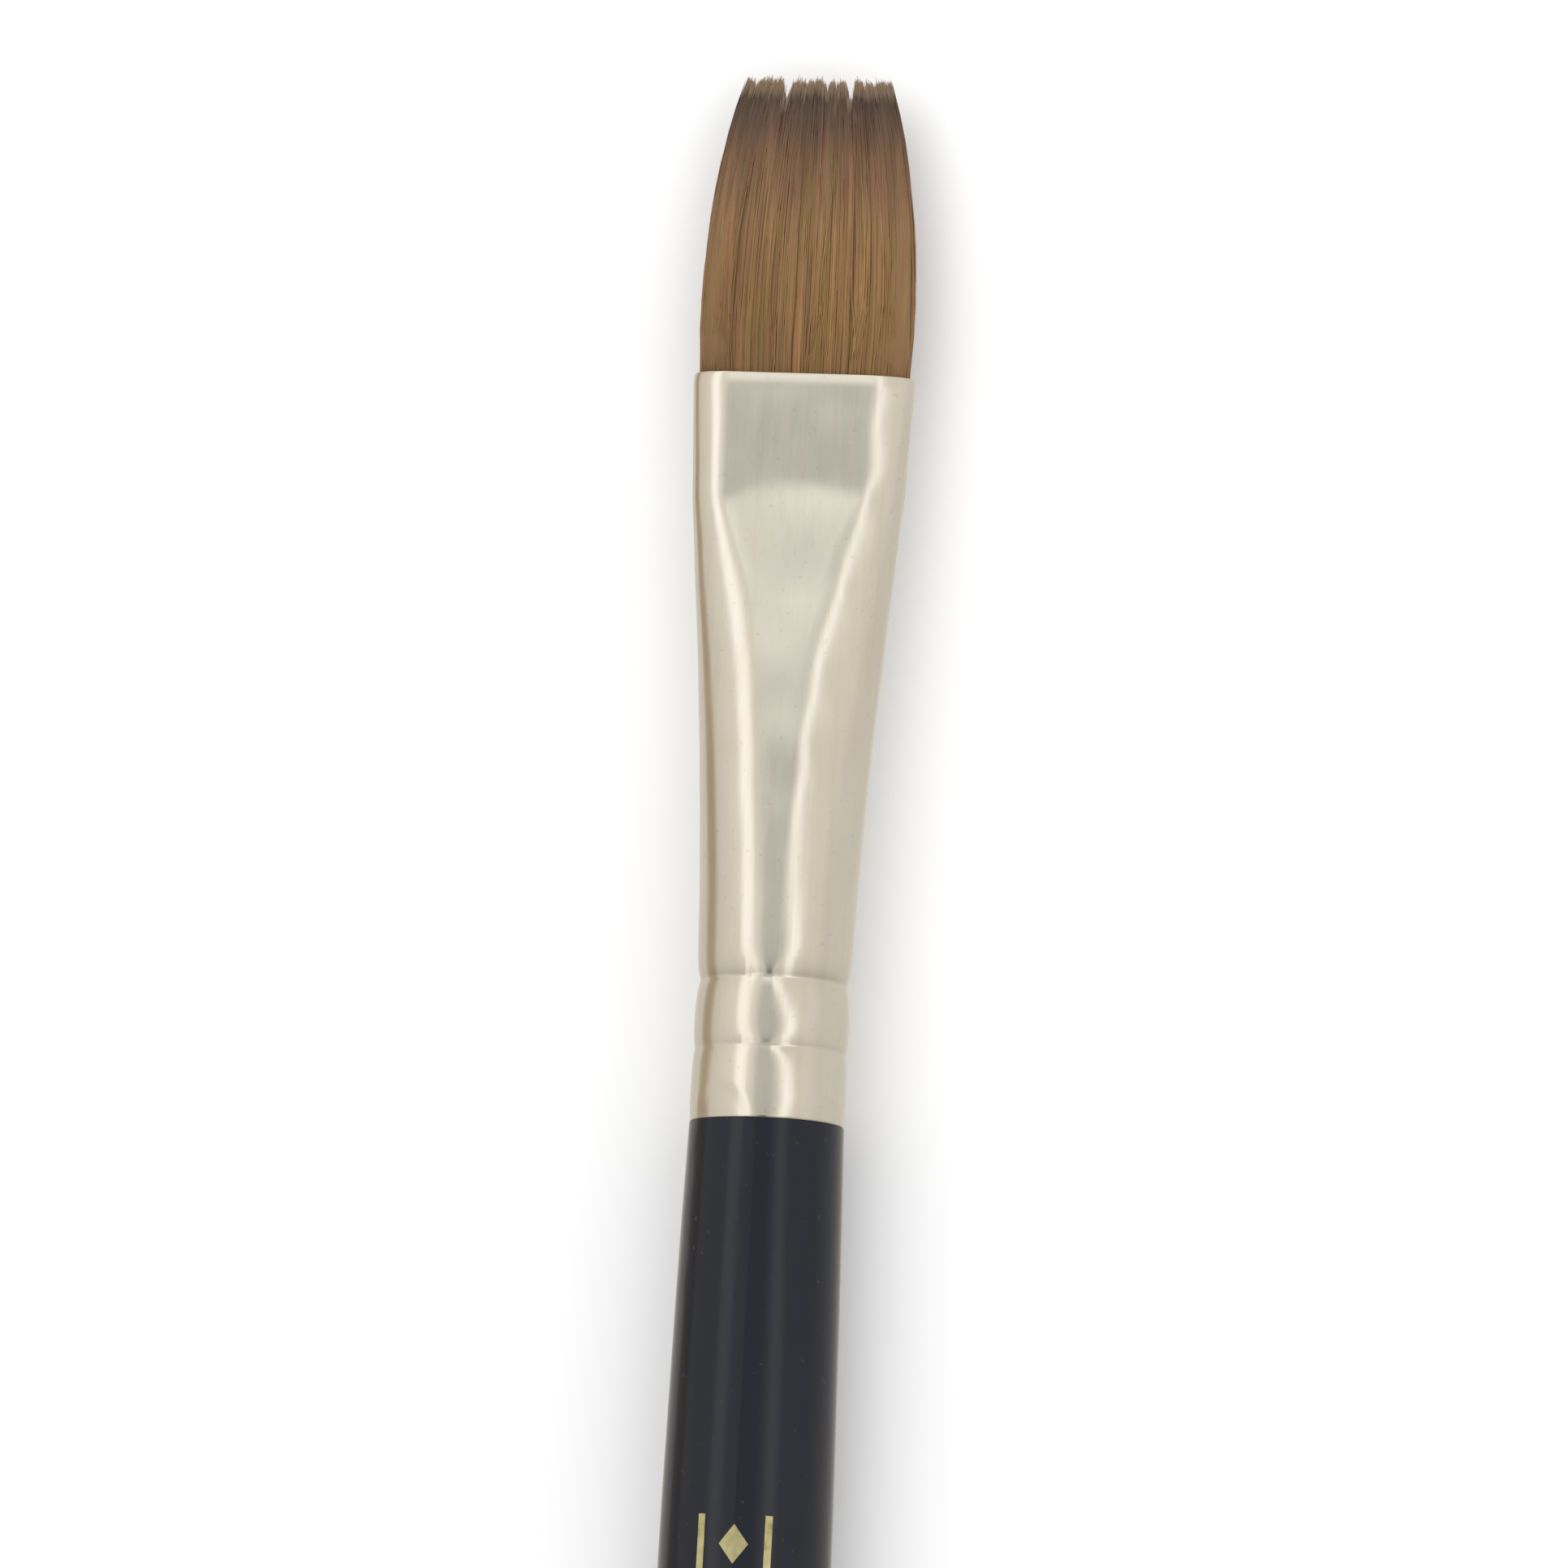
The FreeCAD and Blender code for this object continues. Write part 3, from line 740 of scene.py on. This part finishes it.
def make_hair_core(material):
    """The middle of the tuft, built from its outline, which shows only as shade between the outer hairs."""
    out = np.linspace(ROOT, CORE_OUT, CORE_ROWS)[:, None]
    turn = np.linspace(0, 2 * math.pi, CORE_COLUMNS, endpoint=False)[None]
    width, thickness = tuft_size(out)
    across = np.sign(np.cos(turn)) * np.abs(np.cos(turn)) ** CORE_SIDE_POWER
    deep = np.sign(np.sin(turn)) * np.abs(np.sin(turn)) ** CORE_FACE_POWER
    grid = np.stack([np.broadcast_to(MOUTH + out * HAIR_OUT, (CORE_ROWS, CORE_COLUMNS)),
                     across * (width / 2 - CORE_MARGIN),
                     deep * thickness / 2 * CORE_DEPTH], axis=-1)
    faces = tube_faces(CORE_ROWS, CORE_COLUMNS).tolist()
    faces.append(list(range(CORE_COLUMNS))[::-1])
    faces.append([(CORE_ROWS - 1) * CORE_COLUMNS + i for i in range(CORE_COLUMNS)])
    piece = mesh_piece("hair_core", grid.reshape(-1, 3), faces, material)
    # the darker tone is painted shade between the outer hairs
    add_values(piece, "tone", np.array([CORE_PAINTED_SHADE_TONE]), CORE_ROWS * CORE_COLUMNS)
    add_values(piece, "to_end", np.array([CORE_TO_END]), CORE_ROWS * CORE_COLUMNS)
    return piece


def make_hair(material):
    centres, radii, tone, to_end = strand_paths()
    for start in range(0, STRANDS, STRANDS_PER_PIECE):
        part = slice(start, start + STRANDS_PER_PIECE)
        points, faces = strand_mesh(centres[part], radii[part])
        piece = mesh_piece(f"hair_layer_{start // STRANDS_PER_PIECE + 1}", points, faces, material)
        add_values(piece, "tone", tone[part], STRAND_RINGS * STRAND_SIDES)
        add_values(piece, "to_end", to_end[part].reshape(-1), STRAND_SIDES)
    make_hair_core(material)
    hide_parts("hair_tuft")


# ---- the light tent ----
# What the surroundings look like to rays that left a glossy surface. Angles are in degrees:
# "across" from overhead round the brush, + toward +y, and "along" from straight up toward the hair.
# A band across has its middle, its half width and how soft its edge is.
LEFT_STRIP = (37.0, 9.0, 11.0)
RIGHT_STRIP = (-38.5, 8.5, 10.0)
BROWN_CARD = (106.0, 12.0, 13.0)
OPENING = (-3.0, 18.0, 13.0)
STRIP_LEVEL = 1.24
WALL_FADE = (45.0, 92.0)      # across: from the near level to the far one
WALL_NEAR = 0.83
WALL_FAR = 0.70
# along: where the levels change
OPENING_DARK = (-22.0, 6.0)
OPENING_BRIGHT = (16.0, 28.0)
DARK_LEVEL = 0.09
PLAIN_LEVEL = 0.565
BRIGHT_LEVEL = 0.985
HANDLE_DIM = (-42.0, 8.0)
DIM_LEVEL = 0.42
HANDLE_END = (-68.0, -40.0)
END_LEVEL = 0.66
# Angles across grow as the ray leans toward the handle, so what is overhead looks narrower there.
PLAIN_LEAN = 7.3              # along: where this starts
PINCH_ANGLE = 10.0
PINCH_GROWTH = 0.5
STRIP_PINCH = 1.3             # at most, for the strips
MOST_PINCH = 2.2              # at most, for the opening
PINCH_REACH = 70.0            # only smaller angles across are drawn in
SLANT = 0.10                  # the -y strip and the opening's edge beside it run in toward the hair

OPEN_TINT = (1.0, 1.0, 0.955)
STRIP_TINT = (1.0, 0.977, 0.93)
SIDE_TINT = (1.0, 0.95, 0.86)
BROWN_TINT = (0.45, 0.37, 0.27)
TENT_FILL = (0.96, 0.96, 0.96)
TENT_WALL = (0.97, 0.97, 0.97)


def tinted(level, tint):
    return tuple(level * share for share in tint)


def tent_angles(t):
    """The ray's angles across and along."""
    direction = t.add("ShaderNodeSeparateXYZ")
    t.link(t.add("ShaderNodeTexCoord").outputs["Generated"], direction.inputs["Vector"])
    x, y, z = direction.outputs
    across = t.math("DEGREES", t.math("ARCTAN2", y, z))
    from_axis = t.math("SQRT", t.math("ADD", t.math("MULTIPLY", y, y), t.math("MULTIPLY", z, z)))
    return across, t.math("DEGREES", t.math("ARCTAN2", x, from_axis))


def drawn_in(t, across, along, most):
    """The angle across, with what is overhead drawn in toward the middle by up to most times."""
    beyond = t.math("SUBTRACT", along, PLAIN_LEAN)
    lean = t.math("MINIMUM", t.math("DIVIDE", beyond, PINCH_ANGLE), 0.0)
    pinch = t.math("ADD", t.math("MULTIPLY", t.math("MULTIPLY", lean, lean), PINCH_GROWTH), 1.0)
    slanted = t.math("MULTIPLY", t.math("MAXIMUM", beyond, 0.0), SLANT)
    slanted = t.math("MULTIPLY", slanted, t.math("LESS_THAN", across, 0.0))
    times = t.math("MINIMUM", t.math("ADD", t.math("MINIMUM", pinch, most), slanted), MOST_PINCH)
    moved = t.math("MINIMUM", t.math("MULTIPLY", across, times), PINCH_REACH)
    moved = t.math("MAXIMUM", moved, -PINCH_REACH)
    near = t.math("LESS_THAN", t.math("ABSOLUTE", across), PINCH_REACH)
    return t.math("ADD", t.math("MULTIPLY", t.math("SUBTRACT", moved, across), near), across)


def band(t, angle, middle, half, soft):
    """1 within half of the middle, falling to 0 over soft, centred on the edge."""
    away = t.math("ABSOLUTE", t.math("SUBTRACT", angle, middle))
    return t.ease(away, half - soft / 2, half + soft / 2, 1.0, 0.0)


def tent_walls(t, across, along):
    """The tent's sides: two bright strips, a warm dark edge, and dimmer toward the handle."""
    placed = drawn_in(t, across, along, STRIP_PINCH)
    level = t.ease(t.math("ABSOLUTE", placed), *WALL_FADE, WALL_NEAR, WALL_FAR)
    wall = t.times(SIDE_TINT, level)
    wall = t.mix(wall, tinted(STRIP_LEVEL, STRIP_TINT), band(t, placed, *LEFT_STRIP))
    wall = t.mix(wall, tinted(STRIP_LEVEL, STRIP_TINT), band(t, placed, *RIGHT_STRIP))
    wall = t.mix(wall, BROWN_TINT, band(t, placed, *BROWN_CARD))
    return t.times(wall, t.ease(along, *HANDLE_DIM, DIM_LEVEL, 1.0))


def tent_opening(t, along):
    """The opening overhead: dark toward the handle, bright toward the hair."""
    dark = t.ease(along, *OPENING_DARK, DARK_LEVEL, PLAIN_LEVEL)
    bright = t.ease(along, *OPENING_BRIGHT, 0.0, BRIGHT_LEVEL - PLAIN_LEVEL)
    return t.times(OPEN_TINT, t.math("ADD", dark, bright))


def make_world():
    """A light tent: even white for the floor and the hair, and its walls and opening for
    mirror-like surfaces."""
    world = bpy.data.worlds.new("light_tent")
    world.use_nodes = True
    bpy.context.scene.world = world
    world.node_tree.nodes.clear()
    t = Tree(world.node_tree)
    across, along = tent_angles(t)
    overhead = band(t, drawn_in(t, across, along, MOST_PINCH), *OPENING)
    mirrored = t.mix(tent_walls(t, across, along), tent_opening(t, along), overhead)
    mirrored = t.mix(mirrored, tinted(END_LEVEL, SIDE_TINT), t.ease(along, *HANDLE_END, 1.0, 0.0))
    path = t.add("ShaderNodeLightPath")
    seen = t.mix(TENT_FILL, TENT_WALL, path.outputs["Is Camera Ray"])
    background = t.add("ShaderNodeBackground")
    t.link(t.mix(seen, mirrored, path.outputs["Is Glossy Ray"]), background.inputs["Color"])
    t.link(background.outputs[0], t.add("ShaderNodeOutputWorld").inputs["Surface"])


# ---- floor, lamps and camera ----
FLOOR_REACH = 12.0            # m
LAMP_TARGET = (0.06, 0.0, 0.0)

PHOTO_SIZE = 1932
MM_PER_PIXEL = 0.0472
SENSOR = 36.0
CAMERA_DISTANCE = 0.82        # m
CAMERA_BACK = 6.5             # degrees toward the handle from straight above
CAMERA_SIDE = 8.0             # degrees toward -y
LEAN_IN_VIEW = 2.9            # degrees, top of the brush to the right
VIEW_MIDDLE = 20.0            # the middle of the view, from the shoulder toward the hair, mm


def make_floor():
    """A plain pale floor, left out of mirror reflections so that the metal shows the tent alone."""
    mesh = bpy.data.meshes.new("studio_floor")
    corners = [(x * FLOOR_REACH, y * FLOOR_REACH, 0) for x, y in ((-1, -1), (1, -1), (1, 1), (-1, 1))]
    mesh.from_pydata(corners, [], [(0, 1, 2, 3)])
    floor = bpy.data.objects.new("studio_floor", mesh)
    bpy.context.scene.collection.objects.link(floor)
    n = Look("studio_floor_look")
    speck = n.noise((30, 30, 30), detail=3)
    tint = n.ramp(speck, [(0.3, (0.90, 0.90, 0.90)), (0.7, (0.92, 0.92, 0.92))])
    n.set(Base_Color=tint, Roughness=0.9, Specular_IOR_Level=0.1)
    split = n.add("ShaderNodeMixShader")
    n.link(n.add("ShaderNodeLightPath").outputs["Is Glossy Ray"], split.inputs[0])
    n.link(n.shader.outputs[0], split.inputs[1])
    n.link(n.add("ShaderNodeBsdfTransparent").outputs[0], split.inputs[2])
    n.link(split.outputs[0], n.tree.nodes["Material Output"].inputs["Surface"])
    mesh.materials.append(n.material)


def add_light(name, place, size, power):
    """A square softbox that lights the brush but isn't seen in it."""
    light = bpy.data.lights.new(name, "AREA")
    light.shape = "SQUARE"
    light.size = size
    light.energy = power
    lamp = bpy.data.objects.new(name, light)
    lamp.location = place
    lamp.rotation_euler = (Vector(LAMP_TARGET) - Vector(place)).to_track_quat("-Z", "Y").to_euler()
    lamp.visible_glossy = False
    lamp.visible_camera = False
    bpy.context.scene.collection.objects.link(lamp)


def make_camera():
    data = bpy.data.cameras.new("photo_camera")
    data.sensor_width = SENSOR
    data.lens = SENSOR * CAMERA_DISTANCE / (PHOTO_SIZE * MM_PER_PIXEL * MM)
    data.clip_start = 0.05
    data.clip_end = 50
    camera = bpy.data.objects.new("photo_camera", data)
    back = math.radians(CAMERA_BACK)
    side = math.radians(CAMERA_SIDE)
    lean = math.radians(LEAN_IN_VIEW)
    target = BRUSH @ Vector((VIEW_MIDDLE * MM, 0, 0))
    toward = Vector((-math.sin(back), -math.sin(side) * math.cos(back), math.cos(side) * math.cos(back)))
    forward = BRUSH.to_3x3() @ Vector((1, 0, 0))
    up = (forward - forward.dot(toward) * toward).normalized()
    view_up = up * math.cos(lean) - up.cross(toward) * math.sin(lean)
    turn = Matrix((view_up.cross(toward), view_up, toward)).transposed().to_4x4()
    camera.matrix_world = Matrix.Translation(target + toward * CAMERA_DISTANCE) @ turn
    bpy.context.scene.collection.objects.link(camera)
    bpy.context.scene.camera = camera


def paint(node, material):
    """Gives a CAD node this material in place of its plain one."""
    for slot in frame["nodes"][node].material_slots:
        slot.material = material


def main():
    make_ferrule(nickel_material())
    make_hair(hair_material())
    paint("handle_lacquer", lacquer_material())
    paint("foil_stamp", foil_material())
    paint("handle_core", wood_material())
    paint("root_binding", thread_material())
    paint("root_cement", resin_material("cement_look", (0.25, 0.13, 0.04), (0.45, 0.27, 0.10)))
    paint("tenon_glue", resin_material("glue_look", (0.45, 0.38, 0.22), (0.66, 0.58, 0.38)))
    make_floor()
    make_world()
    add_light("key_softbox", (0.35, 0.35, 0.75), 0.8, 2.3)
    add_light("fill_softbox", (0.0, -0.6, 0.6), 0.9, 1.5)
    make_camera()
    bpy.context.scene.view_settings.view_transform = "Standard"


main()
